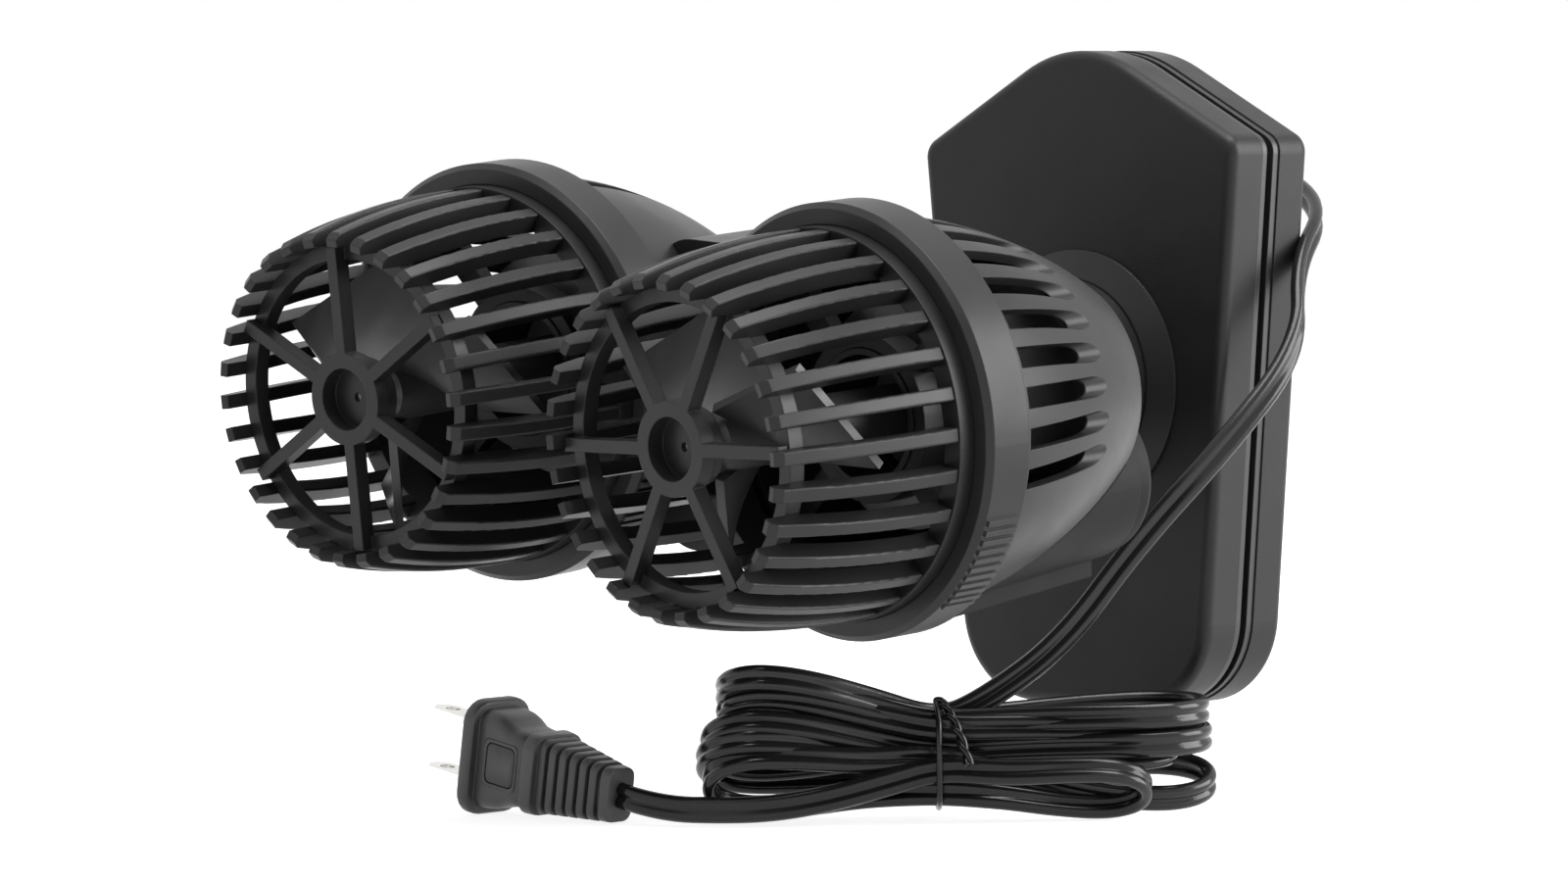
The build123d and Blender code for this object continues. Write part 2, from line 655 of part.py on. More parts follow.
def barrel(side):
    """Tapering barrel under the bell, with a keel and a recess for its cap."""
    axis_plane = barrel_plane(side)
    taper = (BARREL_FRONT_RADIUS - BARREL_REAR_RADIUS) / (BARREL_FRONT - BARREL_REAR)
    keel_rear = -(BARREL_REAR_RADIUS + taper * (KEEL_REAR - BARREL_REAR) + KEEL_DEPTH)
    keel_front = -(BARREL_REAR_RADIUS + taper * (KEEL_FRONT - BARREL_REAR) + KEEL_DEPTH)
    with BuildPart() as body:
        with BuildSketch(Plane(axis_plane.origin, x_dir=axis_plane.y_dir, z_dir=axis_plane.x_dir)):
            with BuildLine():
                Polyline(
                    (0, KEEL_REAR), (keel_rear, KEEL_REAR),
                    (keel_front, KEEL_FRONT), (0, KEEL_FRONT), close=True,
                )
            make_face()
        extrude(amount=KEEL_WIDTH / 2, both=True)
        with Locations(axis_plane.offset(BARREL_REAR)):
            Cone(
                BARREL_REAR_RADIUS, BARREL_FRONT_RADIUS, BARREL_FRONT - BARREL_REAR,
                align=STANDING,
            )
            Cylinder(
                BARREL_PLUG_RADIUS + SLIDING, BARREL_PLUG_DEPTH + SLIDING,
                align=STANDING, mode=Mode.SUBTRACT,
            )
        add(
            bell(head_plane(side), -SLIDING, HOUSING_REAR - SLIDING, BARREL_FRONT + CUT),
            mode=Mode.SUBTRACT,
        )
    return body.part


def barrel_cap(side):
    """Round cap that closes the back of the barrel."""
    with BuildPart() as cap:
        with Locations(barrel_plane(side).offset(BARREL_REAR)):
            Cylinder(CAP_RADIUS, CAP_THICK, align=HANGING)
        axis_plane = barrel_plane(side)
        fillet(cap.edges().sort_by(Axis(axis_plane.origin, axis_plane.z_dir))[0], CAP_FILLET)
        with Locations(axis_plane.offset(BARREL_REAR)):
            Cylinder(BARREL_PLUG_RADIUS, BARREL_PLUG_DEPTH, align=STANDING)
    return cap.part


def collar(side):
    """Locking collar, with two patches of grip ridges and a groove for the cage's lugs."""
    head = head_plane(side)
    half_grip = GRIP_PITCH * (GRIP_RIDGES - 1) / 2
    with BuildPart() as ring:
        add(turned(head, [
            (COLLAR_BORE, COLLAR_REAR),
            (COLLAR_RADIUS, COLLAR_REAR),
            (COLLAR_RADIUS, COLLAR_FRONT - COLLAR_CHAMFER),
            (COLLAR_RADIUS - COLLAR_CHAMFER, COLLAR_FRONT),
            (COLLAR_BORE, COLLAR_FRONT),
        ]))
        with Locations(head.offset(COLLAR_REAR + COLLAR_CHAMFER / 2)):
            for patch in (GRIP_ANGLE, GRIP_ANGLE + 180):
                with PolarLocations(
                    COLLAR_RADIUS, GRIP_RIDGES, patch - half_grip, 2 * half_grip, endpoint=True
                ):
                    Box(
                        2 * GRIP_PROUD, GRIP_WIDTH, COLLAR_LENGTH - 2 * COLLAR_CHAMFER,
                        align=STANDING,
                    )
        add(turned(head, tube_points(
            COLLAR_BORE + LUG_HEIGHT + LOOSE, COLLAR_BORE - CUT,
            LUG_REAR - LOOSE, LUG_REAR + LUG_THICK + LOOSE,
        )), mode=Mode.SUBTRACT)
    return ring.part


def cage_rib():
    """One rib of the cage, bowed outwards and hooked in at its tip, on the XZ plane."""
    root = CAGE_RADIUS - RIB_EDGE
    rear = CAGE_RING_FRONT
    tip = CAGE_FRONT - CAGE_BELLY
    middle = (rear + tip) / 2
    outer_middle = (root + CAGE_TIP_RADIUS) / 2 + CAGE_BELLY
    ring_side = FRONT_RING_RADIUS + RUNNING
    with BuildPart() as rib:
        with BuildSketch(Plane.XZ):
            with BuildLine():
                ThreePointArc((root, rear), (outer_middle, middle), (CAGE_TIP_RADIUS, tip))
                Polyline(
                    (CAGE_TIP_RADIUS, tip),
                    (CAGE_TIP_RADIUS - CAGE_BELLY, CAGE_FRONT),
                    (ring_side, CAGE_FRONT - RIB_EDGE),
                    (ring_side, FRONT_RING_REAR),
                )
                ThreePointArc(
                    (ring_side, FRONT_RING_REAR),
                    (outer_middle - RIB_DEPTH, middle),
                    (root - RIB_DEPTH, rear),
                )
                Line((root - RIB_DEPTH, rear), (root, rear))
            make_face()
        extrude(amount=RIB_WIDTH / 2, both=True)
        fillet(rib.edges().filter_by(GeomType.CIRCLE), RIB_EDGE)
    return rib.part


def cage_base(side):
    """Base ring of the cage, with the lugs that lock in the collar."""
    head = head_plane(side)
    with BuildPart() as base:
        add(turned(head, tube_points(
            CAGE_RADIUS, CAGE_RADIUS - CAGE_RING_WALL, CAGE_REAR, CAGE_RING_FRONT,
        )))
        with Locations(head.offset(LUG_REAR)):
            with PolarLocations(CAGE_RADIUS, LUG_COUNT, LUG_START):
                Box(2 * LUG_HEIGHT, LUG_LENGTH, LUG_THICK, align=STANDING)
    return base.part


def cage_bars(side, phase, rib):
    """All ribs of the cage, each one standing on the base ring."""
    with BuildPart() as bars:
        with Locations(head_plane(side)):
            with PolarLocations(0, RIB_COUNT, phase):
                add(rib)
    return bars.part


def cage_guard(side, start):
    """Front of the cage: a ring, its spokes and a cup for the shaft."""
    head = head_plane(side)
    spoke_length = FRONT_RING_RADIUS - HUB_NECK
    with BuildPart() as guard:
        add(turned(head, tube_points(
            FRONT_RING_RADIUS, FRONT_RING_RADIUS - FRONT_RING_WALL,
            FRONT_RING_REAR, FRONT_RING_REAR + FRONT_RING_DEPTH,
        )))
        with Locations(head.offset(SPOKE_FRONT)):
            with PolarLocations(HUB_NECK + spoke_length / 2 - RIB_EDGE, SPOKE_COUNT, start):
                Box(spoke_length, SPOKE_WIDTH, SPOKE_DEPTH, align=HANGING)
        add(turned(head, [
            (HUB_CUP_RADIUS, SPOKE_FRONT),
            (HUB_CUP_RADIUS, HUB_FLOOR_FRONT),
            (HUB_PILOT_RADIUS, HUB_FLOOR_FRONT),
            (HUB_PILOT_RADIUS, SHAFT_SEAT),
            (SHAFT_RADIUS + RUNNING, SHAFT_SEAT),
            (SHAFT_RADIUS + RUNNING, HUB_BACK),
            (HUB_NECK, HUB_BACK),
            (HUB_NECK, SPOKE_FRONT - SPOKE_DEPTH),
            (HUB_RADIUS, SPOKE_FRONT - SPOKE_DEPTH),
            (HUB_RADIUS, SPOKE_FRONT),
        ]))
    return guard.part


def impeller(side):
    """Three broad blades on a hub, with a sleeve that carries the rotor magnet."""
    head = head_plane(side)
    bore = SHAFT_RADIUS + RUNNING
    root = IMPELLER_HUB_RADIUS - 2 * RUNNING - BLADE_THICK / 2
    sections = {root: BLADE_ROOT_PITCH, BLADE_RADIUS: BLADE_TIP_PITCH}
    with BuildPart() as blade:
        for radius, pitch in sections.items():
            along = (0, sin(radians(pitch)), cos(radians(pitch)))
            with BuildSketch(Plane((radius, 0, BLADE_CENTRE), x_dir=along, z_dir=(1, 0, 0))):
                Rectangle(BLADE_CHORD, BLADE_THICK)
        loft()
    with BuildPart() as wheel:
        add(turned(head, [
            (bore, ROTOR_REAR),
            (SLEEVE_RADIUS, ROTOR_REAR),
            (SLEEVE_RADIUS, ROTOR_FRONT),
            (IMPELLER_HUB_RADIUS, ROTOR_FRONT),
            (IMPELLER_HUB_RADIUS, IMPELLER_FRONT - SLEEVE_RADIUS),
            (SLEEVE_RADIUS, IMPELLER_FRONT),
            (bore, IMPELLER_FRONT),
        ]))
        with Locations(head):
            with PolarLocations(0, BLADE_COUNT, BLADE_START):
                add(blade.part)
    return wheel.part


def spider(side):
    """Ring with arms that holds the motor can in the housing's spigot."""
    head = head_plane(side)
    hub_inner = CAN_RADIUS + SLIDING
    hub_outer = hub_inner + SPIDER_HUB_WALL
    ring_outer = SPIGOT_INNER - RUNNING
    ring_inner = ring_outer - SPIDER_RING_WALL
    front = SPIDER_REAR + SPIDER_LENGTH
    arm_length = ring_inner - hub_outer + CUT
    with BuildPart() as frame:
        add(turned(head, tube_points(ring_outer, ring_inner, SPIDER_REAR, front)))
        add(turned(head, tube_points(hub_outer, hub_inner, SPIDER_REAR, front)))
        with Locations(head.offset(SPIDER_REAR)):
            with PolarLocations((ring_inner + hub_outer) / 2, SPIDER_ARMS, SPIDER_START):
                Box(arm_length, SPIDER_ARM_WIDTH, SPIDER_ARM_DEPTH, align=STANDING)
    return frame.part


def motor_can(side):
    """Thin sealed cup that the rotor magnet turns in."""
    return turned(head_plane(side), [
        (0, CAN_REAR),
        (CAN_RADIUS, CAN_REAR),
        (CAN_RADIUS, CAN_FRONT),
        (CAN_RADIUS - CAN_WALL, CAN_FRONT),
        (CAN_RADIUS - CAN_WALL, CAN_FLOOR),
        (0, CAN_FLOOR),
    ])


def stator(side):
    """Laminated stator between two coils, round the motor can."""
    inner = CAN_RADIUS + SLIDING
    stack_rear = STATOR_REAR + COIL_LENGTH
    stack_front = stack_rear + STATOR_LENGTH
    return turned(head_plane(side), [
        (inner, STATOR_REAR),
        (COIL_RADIUS, STATOR_REAR),
        (COIL_RADIUS, stack_rear),
        (STATOR_RADIUS, stack_rear),
        (STATOR_RADIUS, stack_front),
        (COIL_RADIUS, stack_front),
        (COIL_RADIUS, stack_front + COIL_LENGTH),
        (inner, stack_front + COIL_LENGTH),
    ])


shared_rib = cage_rib()
for name, side in SIDES.items():
    head = head_plane(side)
    save(rear_housing(side), f"{name}_rear_housing")
    save(barrel(side), f"{name}_barrel")
    save(barrel_cap(side), f"{name}_barrel_cap")
    save(stator(side), f"{name}_stator")
    save(motor_can(side), f"{name}_motor_can")
    save(spider(side), f"{name}_spider")
    save(collar(side), f"{name}_collar")
    seal_outer = CAGE_RADIUS - RUNNING
    seal = tube_points(seal_outer, seal_outer - SEAL_WIDTH, SPIGOT_FRONT + RUNNING, SEAL_FRONT)
    save(turned(head, seal), f"{name}_collar_seal")
    save(cage_base(side), f"{name}_cage_base")
    save(cage_bars(side, RIB_PHASES[name], shared_rib), f"{name}_cage_bars")
    save(cage_guard(side, SPOKE_STARTS[name]), f"{name}_cage_guard")
    save(impeller(side), f"{name}_impeller")
    magnet = tube_points(ROTOR_RADIUS, SLEEVE_RADIUS + RUNNING, ROTOR_REAR, ROTOR_FRONT - RUNNING)
    save(turned(head, magnet), f"{name}_rotor_magnet")
    shaft = tube_points(SHAFT_RADIUS, 0, CAN_FLOOR + RUNNING, SHAFT_FRONT)
    save(turned(head, shaft), f"{name}_shaft")
    bush = tube_points(
        BUSH_RADIUS, SHAFT_RADIUS + RUNNING, CAN_FLOOR + RUNNING, CAN_FLOOR + BUSH_LENGTH
    )
    save(turned(head, bush), f"{name}_rear_bush")

# ------------------------------------------------------------ bridge between the heads
screw_places = [
    (side * SCREW_ACROSS, HEAD_RISE + lift)
    for side in (-1, 1)
    for lift in (-SCREW_AWAY, SCREW_AWAY)
]
with BuildPart() as bridge:
    with BuildSketch(carriage.offset(BRIDGE_REAR)):
        with Locations((0, (BRIDGE_TOP + BRIDGE_BOTTOM) / 2)):
            RectangleRounded(BRIDGE_WIDTH, BRIDGE_TOP - BRIDGE_BOTTOM, BRIDGE_CORNER)
    extrude(amount=BRIDGE_FRONT - BRIDGE_REAR)
    rear_face = bridge.faces().sort_by(Axis(carriage.origin, carriage.z_dir))[0]
    fillet(rear_face.edges(), BRIDGE_EDGE)
    for side in SIDES.values():
        add(
            bell(head_plane(side), -SLIDING, HOUSING_REAR - SLIDING, HOUSING_FRONT),
            mode=Mode.SUBTRACT,
        )
    with Locations(carriage):
        Cylinder(STEM_RADIUS + RUNNING, BRIDGE_FRONT, align=STANDING, mode=Mode.SUBTRACT)
    with Locations(carriage.offset(BRIDGE_POCKET_REAR)):
        Cylinder(BRIDGE_POCKET_RADIUS, BRIDGE_FRONT, align=STANDING, mode=Mode.SUBTRACT)
    with Locations(carriage.offset(SCREW_SEAT)):
        with Locations(*screw_places):
            Cylinder(SCREW_RADIUS + RUNNING, SCREW_LENGTH, align=STANDING, mode=Mode.SUBTRACT)
            Cylinder(SCREW_HEAD_RADIUS + SLIDING, SCREW_SEAT, align=HANGING, mode=Mode.SUBTRACT)
save(bridge.part, "bridge")

with BuildPart() as bridge_plug:
    with Locations(carriage.offset(BRIDGE_FRONT - PLUG_DISC_RECESS)):
        Cylinder(BRIDGE_POCKET_RADIUS - RUNNING, PLUG_DISC_THICK, align=HANGING)
        Box(BRIDGE_POCKET_RADIUS, PLUG_SLOT_WIDTH, PLUG_SLOT_WIDTH, mode=Mode.SUBTRACT)
save(bridge_plug.part, "bridge_plug")

with BuildPart() as bridge_screws:
    with Locations(carriage.offset(SCREW_SEAT)):
        with Locations(*screw_places):
            Cylinder(SCREW_RADIUS, SCREW_LENGTH, align=STANDING)
            Cylinder(SCREW_HEAD_RADIUS, SCREW_HEAD_HEIGHT, align=HANGING)
    with BuildSketch(carriage.offset(SCREW_SEAT - SCREW_HEAD_HEIGHT)):
        with Locations(*screw_places):
            RegularPolygon(SCREW_RADIUS, 6)
    extrude(amount=SCREW_HEAD_HEIGHT / 2, mode=Mode.SUBTRACT)
save(bridge_screws.part, "bridge_screws")


# ------------------------------------------------------------------------- the cord
def corner_radii(points):
    """Radius of each bend: 0.45 of the shorter run over the tangent of half the turn."""
    radii = []
    for before, corner, after in zip(points, points[1:], points[2:]):
        run_in = Vector(*corner) - Vector(*before)
        run_out = Vector(*after) - Vector(*corner)
        half_turn = radians(run_in.get_angle(run_out)) / 2
        radii.append(0.45 * min(run_in.length, run_out.length) / tan(half_turn))
    return radii


def cord_tube(label, points):
    """Round tube along straight runs and tangent arcs, as wide as the flat cord."""
    radii = corner_radii(points)
    with BuildPart() as tube:
        with BuildLine() as path:
            FilletPolyline(*points, radius=radii)
        with BuildSketch(Plane(origin=path.wire() @ 0, z_dir=path.wire() % 0)):
            Circle(CORD_RADIUS)
        sweep()
    length = path.wire().length
    expected = pi * CORD_RADIUS**2 * length
    print(label, "radii", [round(radius, 1) for radius in radii])
    print(label, "length", round(length, 1), "volume", round(tube.part.volume / expected, 4))
    save(tube.part, label)


with BuildPart() as cord_gland:
    with Locations(gland_plane):
        Cylinder(GLAND_RADIUS, SHELL_WALL, align=HANGING)
        Cylinder(GLAND_COLLAR_RADIUS, GLAND_COLLAR_LENGTH, align=STANDING)
    with Locations(gland_plane.offset(GLAND_COLLAR_LENGTH)):
        taper_length = GLAND_LENGTH - GLAND_COLLAR_LENGTH
        Cone(GLAND_NECK_RADIUS, GLAND_TIP_RADIUS, taper_length, align=STANDING)
save(cord_gland.part, "cord_gland")

gland_tip = tuple(gland_plane.offset(GLAND_LENGTH).origin)
cord_tube("cord_run", [gland_tip, *RUN_ROUTE, RUN_END])

hank_along = Vector(cos(radians(HANK_AZIMUTH)), sin(radians(HANK_AZIMUTH)), 0)


def hank_section(shift, depth, low, high, grow=0.0):
    """Rounded section of the hank, square to its length."""
    origin = Vector(*HANK_MIDDLE, FLOOR_Z + (low + high) / 2) + hank_along * shift
    with BuildSketch(Plane(origin, x_dir=hank_along.cross(Vector(0, 0, 1)), z_dir=hank_along)) as ring:
        RectangleRounded(depth + 2 * grow, high - low + 2 * grow, HANK_CORNER + grow)
    return ring.sketch


with BuildPart() as cord_hank:
    loft([hank_section(*section) for section in HANK_SECTIONS], ruled=True)
save(cord_hank.part, "cord_hank")

waist = HANK_SECTIONS[4]
tie_shift = (HANK_SECTIONS[4][0] + HANK_SECTIONS[5][0]) / 2
with BuildPart() as cord_tie:
    extrude(hank_section(tie_shift, *waist[1:], grow=SLIDING + TIE_THICK), TIE_WIDTH / 2, both=True)
    extrude(
        hank_section(tie_shift, *waist[1:], grow=SLIDING), TIE_WIDTH / 2, both=True,
        mode=Mode.SUBTRACT,
    )
save(cord_tie.part, "cord_tie")

# The plug lies on its side: its flange and its relief rest on the floor.
plug_length = RELIEF_LENGTH + PLUG_GRIP_LENGTH + PLUG_FLANGE_THICK
slope = radians(PLUG_SLOPE)
flange_lift = (plug_length - PLUG_FLANGE_THICK) * sin(slope)
tip_z = FLOOR_Z + PLUG_HEIGHT / 2 * cos(slope) - flange_lift + RUNNING
plug_plane = Plane(
    origin=(*PLUG_TIP, tip_z), x_dir=(0, -1, 0), z_dir=(-cos(slope), 0, sin(slope))
)
cord_tube("cord_lead", [tuple(plug_plane.origin), *LEAD_ROUTE, LEAD_END])

with BuildPart() as plug_relief:
    with BuildSketch(plug_plane):
        RectangleRounded(RELIEF_CORE_WIDTH, RELIEF_CORE_HEIGHT, RELIEF_CORNER)
    extrude(amount=RELIEF_LENGTH)
    ring_zone = RELIEF_LENGTH - RELIEF_COLLAR_LENGTH - RELIEF_END_LENGTH
    ring_pitch = ring_zone / RELIEF_RINGS
    for number in range(RELIEF_RINGS):
        back = RELIEF_END_LENGTH + ring_pitch * (number + 1) - RELIEF_RING_LENGTH
        less = RELIEF_RING_TAPER * (RELIEF_RINGS - number)
        with BuildSketch(plug_plane.offset(back)):
            RectangleRounded(RELIEF_RING_WIDTH - less, RELIEF_RING_HEIGHT - less, RELIEF_CORNER)
        extrude(amount=RELIEF_RING_LENGTH)
    end_less = RELIEF_RING_TAPER * (RELIEF_RINGS + 1)
    with BuildSketch(plug_plane):
        RectangleRounded(
            RELIEF_RING_WIDTH - end_less, RELIEF_RING_HEIGHT - end_less, RELIEF_CORNER
        )
    extrude(amount=RELIEF_END_LENGTH)
    with BuildSketch(plug_plane.offset(RELIEF_LENGTH - RELIEF_COLLAR_LENGTH)):
        RectangleRounded(RELIEF_COLLAR_WIDTH, RELIEF_COLLAR_HEIGHT, RELIEF_COLLAR_CORNER)
    extrude(amount=RELIEF_COLLAR_LENGTH)
save(plug_relief.part, "plug_relief")

grip_plane = plug_plane.offset(RELIEF_LENGTH)
flange_plane = grip_plane.offset(PLUG_GRIP_LENGTH)
with BuildPart() as plug_body:
    for share, height in (
        (0, PLUG_GRIP_END_HEIGHT), PLUG_GRIP_WAIST, PLUG_GRIP_SHOULDER, (1, PLUG_GRIP_HEIGHT)
    ):
        with BuildSketch(grip_plane.offset(PLUG_GRIP_LENGTH * share)):
            RectangleRounded(PLUG_GRIP_WIDTH, height, PLUG_GRIP_CORNER)
    loft(ruled=True)
    with BuildSketch(flange_plane):
        RectangleRounded(PLUG_WIDTH, PLUG_HEIGHT, PLUG_CORNER)
    extrude(amount=PLUG_FLANGE_THICK)
    with BuildSketch(flange_plane.offset(-PIN_ROOT - SLIDING)):
        with Locations((0, BLADE_SPACING / 2), (0, -BLADE_SPACING / 2)):
            Rectangle(PIN_WIDTH + 2 * RUNNING, PIN_THICK + 2 * RUNNING)
    extrude(amount=PIN_ROOT + PLUG_FLANGE_THICK + CUT, mode=Mode.SUBTRACT)
save(plug_body.part, "plug_body")

with BuildPart() as plug_blades:
    for level in (-BLADE_SPACING / 2, BLADE_SPACING / 2):
        with BuildSketch(Plane(
            flange_plane.from_local_coords(Vector(0, level, 0)),
            x_dir=flange_plane.z_dir, z_dir=flange_plane.y_dir,
        )):
            tip = PLUG_FLANGE_THICK + PIN_REACH
            with BuildLine():
                Polyline(
                    (-PIN_ROOT, -PIN_WIDTH / 2), (tip - PIN_NOSE, -PIN_WIDTH / 2),
                    (tip, -PIN_WIDTH / 2 + PIN_NOSE), (tip, PIN_WIDTH / 2 - PIN_NOSE),
                    (tip - PIN_NOSE, PIN_WIDTH / 2), (-PIN_ROOT, PIN_WIDTH / 2), close=True,
                )
            make_face()
            with Locations((tip - PIN_HOLE_FROM_TIP, 0)):
                Circle(PIN_HOLE_RADIUS, mode=Mode.SUBTRACT)
        extrude(amount=PIN_THICK / 2, both=True)
save(plug_blades.part, "plug_blades")
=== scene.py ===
import json
from math import cos, pi, radians, sin

import bmesh
import bpy
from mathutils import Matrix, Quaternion, Vector


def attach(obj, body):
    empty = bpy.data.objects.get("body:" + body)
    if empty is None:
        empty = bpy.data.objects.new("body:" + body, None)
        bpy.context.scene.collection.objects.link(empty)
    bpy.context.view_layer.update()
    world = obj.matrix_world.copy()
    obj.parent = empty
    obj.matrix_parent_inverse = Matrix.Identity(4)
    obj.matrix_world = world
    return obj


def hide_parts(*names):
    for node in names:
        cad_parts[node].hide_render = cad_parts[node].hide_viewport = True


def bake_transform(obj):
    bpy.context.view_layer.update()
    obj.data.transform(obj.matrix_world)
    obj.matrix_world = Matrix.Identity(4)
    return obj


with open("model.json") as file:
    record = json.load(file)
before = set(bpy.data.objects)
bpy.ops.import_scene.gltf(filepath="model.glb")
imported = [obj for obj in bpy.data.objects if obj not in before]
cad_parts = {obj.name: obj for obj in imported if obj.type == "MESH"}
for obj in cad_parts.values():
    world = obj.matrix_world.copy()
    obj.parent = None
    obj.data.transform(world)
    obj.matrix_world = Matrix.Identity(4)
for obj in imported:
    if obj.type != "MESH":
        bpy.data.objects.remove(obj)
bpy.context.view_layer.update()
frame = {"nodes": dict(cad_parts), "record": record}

MM = 0.001
UP = Vector((0, 0, 1))

# ------------------------------------------------------------------------------ camera
CAMERA_PLACE = (942.2, -1063.6, 49.0)
CAMERA_AIM = (-13.3, -89.6, -9.9)
CAMERA_ROLL = -0.0153
CAMERA_LENS = 150.3
SENSOR_WIDTH = 36.0
CAMERA_CLIP = (0.05, 50.0)


def metres(point):
    return Vector(point) * MM


def make_camera():
    data = bpy.data.cameras.new("camera")
    data.lens = CAMERA_LENS
    data.sensor_width = SENSOR_WIDTH
    data.clip_start, data.clip_end = CAMERA_CLIP
    camera = bpy.data.objects.new("camera", data)
    bpy.context.scene.collection.objects.link(camera)
    camera.location = metres(CAMERA_PLACE)
    look = metres(CAMERA_AIM) - camera.location
    camera.rotation_mode = "QUATERNION"
    roll = Quaternion((0, 0, 1), CAMERA_ROLL)
    camera.rotation_quaternion = look.to_track_quat("-Z", "Y") @ roll
    bpy.context.scene.camera = camera


make_camera()

# -------------------------------------------------------------------------- flat cord
# Millimetres, as in part.py. The run's first seven points are those of part.py's cord tubes. The
# next three are theirs, shifted by a computed offset to lie behind the dry half, and two of them
# then adjusted. A least-squares fit moved the last five to the cord's line in the photo. The
# lead's point lies 0.8 mm lower than in part.py.
FLOOR_Z = -90.0
CORD_WIDTH = 5.6
GLAND_TIP = (-62.48, -6.45, 20.0)
RUN_ROUTE = [
    (-80.0, -5.5, 20.8),
    (-94.5, 7.5, 24.2),
    (-92.0, 27.0, 28.5),
    (-77.0, 38.5, 32.0),
    (-58.0, 43.5, 36.0),
    (-39.0, 43.5, 39.0),
    (-7.0, 40.0, 43.5),
    (15.9, 33.3, 44.5),
    (38.9, 24.8, 36.4),
    (46.2, 5.8, 24.4),
    (54.9, -3.6, 7.1),
    (50.0, -22.6, -12.6),
    (37.6, -36.3, -32.2),
    (26.1, -46.8, -53.0),
    (14.3, -58.7, -65.1),
]
LEAD_ROUTE = [(-30.5, -111.0, -86.2)]
PLUG_TIP = (-41.0, -112.0, -83.86)

# The hank: 13 passes through the tie, joined by six lobes on each side.
HANK_AZIMUTH = radians(44.45)
HANK_MIDDLE = Vector((10.9, -62.5, FLOOR_Z))
HANK_ALONG = Vector((cos(HANK_AZIMUTH), sin(HANK_AZIMUTH), 0))
HANK_TOWARD = HANK_ALONG.cross(UP)
TIE_SHIFT = -5.0
# Where each pass goes through the tie: towards the front, and above the floor.
PASSES = [
    (-0.7, 20.6), (-6.8, 20.0), (2.4, 20.4), (-3.8, 20.3), (5.6, 19.6), (-7.4, 13.8), (1.8, 14.2),
    (-4.4, 13.9), (-1.3, 14.1), (-4.5, 7.4), (5.0, 14.0), (6.0, 6.6), (8.3, 11.8),
]
# Each lobe: reach from the tie, its middle (towards the front, above the floor), and
# from there to its outgoing strand (towards the front, up).
LEFT_LOBES = [
    (45.6, (0.0, 27.6), (12.0, 4.4)),
    (44.6, (0.0, 25.0), (9.0, 4.4)),
    (45.6, (0.0, 22.4), (6.0, 4.8)),
    (49.0, (1.0, 16.4), (9.0, 6.0)),
    (50.0, (0.0, 13.0), (11.8, 5.4)),
    (48.6, (5.5, 8.9), (6.5, 6.0)),
]
RIGHT_LOBES = [
    (56.3, (0.0, 22.6), (-12.0, 0.4)),
    (55.0, (0.0, 20.2), (-9.6, 0.6)),
    (56.8, (0.0, 17.0), (-11.6, 0.6)),
    (49.5, (-1.0, 14.2), (-9.0, 1.0)),
    (57.8, (-4.0, 7.2), (-8.0, 3.4)),
    (43.4, (10.5, 7.0), (-5.5, -4.4)),
]
LOBE_POINTS = 9
LOBE_FULLNESS = 1.5
# Angles in radians among which the widest place of a lobe is found.
LOBE_TURNS = [step / 50 for step in range(1, 78)]
EXIT_POINTS = [(-16.0, 9.6, 8.8), (-28.0, 10.4, 5.8), (-39.0, 10.2, 4.0), (-49.0, 8.6, 3.5)]


def hank_place(shift, toward, height):
    return HANK_MIDDLE + HANK_ALONG * shift + HANK_TOWARD * toward + UP * height


def lobe(start, end, side, reach, middle, half):
    """Points of one lobe from pass to pass, with the direction of the cord's wide axis."""
    widest = max(cos(turn) * sin(turn) ** LOBE_FULLNESS for turn in LOBE_TURNS)
    wide = HANK_TOWARD * -half[1] + UP * half[0]
    if wide.z < 0:
        wide = -wide
    found = []
    for step in range(1, LOBE_POINTS + 1):
        share = step / (LOBE_POINTS + 1)
        out = sin(pi * share)
        swell = 1 - (1 - out) ** 2
        across = cos(pi * share) * out**LOBE_FULLNESS / widest
        level = [
            (start[k] * (1 - share) + end[k] * share) * (1 - swell)
            + middle[k] * swell + half[k] * across
            for k in (0, 1)
        ]
        place = hank_place(TIE_SHIFT + side * reach * out, *level)
        found.append((place, UP.lerp(wide.normalized(), swell)))
    return found


def cord_points():
    """The cord's control points and the direction of its wide axis at each."""
    points = [(Vector(GLAND_TIP), UP)]
    points += [(Vector(p), UP) for p in RUN_ROUTE]
    for number, here in enumerate(PASSES):
        points.append((hank_place(TIE_SHIFT, *here), UP))
        if number + 1 < len(PASSES):
            side = 1 if number % 2 else -1
            sizes = (RIGHT_LOBES if number % 2 else LEFT_LOBES)[number // 2]
            points += lobe(here, PASSES[number + 1], side, *sizes)
    points += [(hank_place(*place), UP) for place in EXIT_POINTS]
    points += [(Vector(p), UP) for p in LEAD_ROUTE]
    points.append((Vector(PLUG_TIP), UP))
    return points


CORE_RADIUS = 1.45
CORE_AWAY = CORD_WIDTH / 2 - CORE_RADIUS
CORE_OPEN = pi - 0.55  # each core's outline ends here on both sides, at the groove
CORE_STEPS = 10
SPLINE_ORDER = 3
SPLINE_STEPS = 8


def cord_section():
    """Outline of the flat cord: two cores side by side, as (wide, thick) points."""
    outline = []
    for centre, turn in ((CORE_AWAY, 0), (-CORE_AWAY, pi)):
        for step in range(CORE_STEPS + 1):
            angle = turn - CORE_OPEN + 2 * CORE_OPEN * step / CORE_STEPS
            outline.append((centre + CORE_RADIUS * cos(angle), CORE_RADIUS * sin(angle)))
    return outline


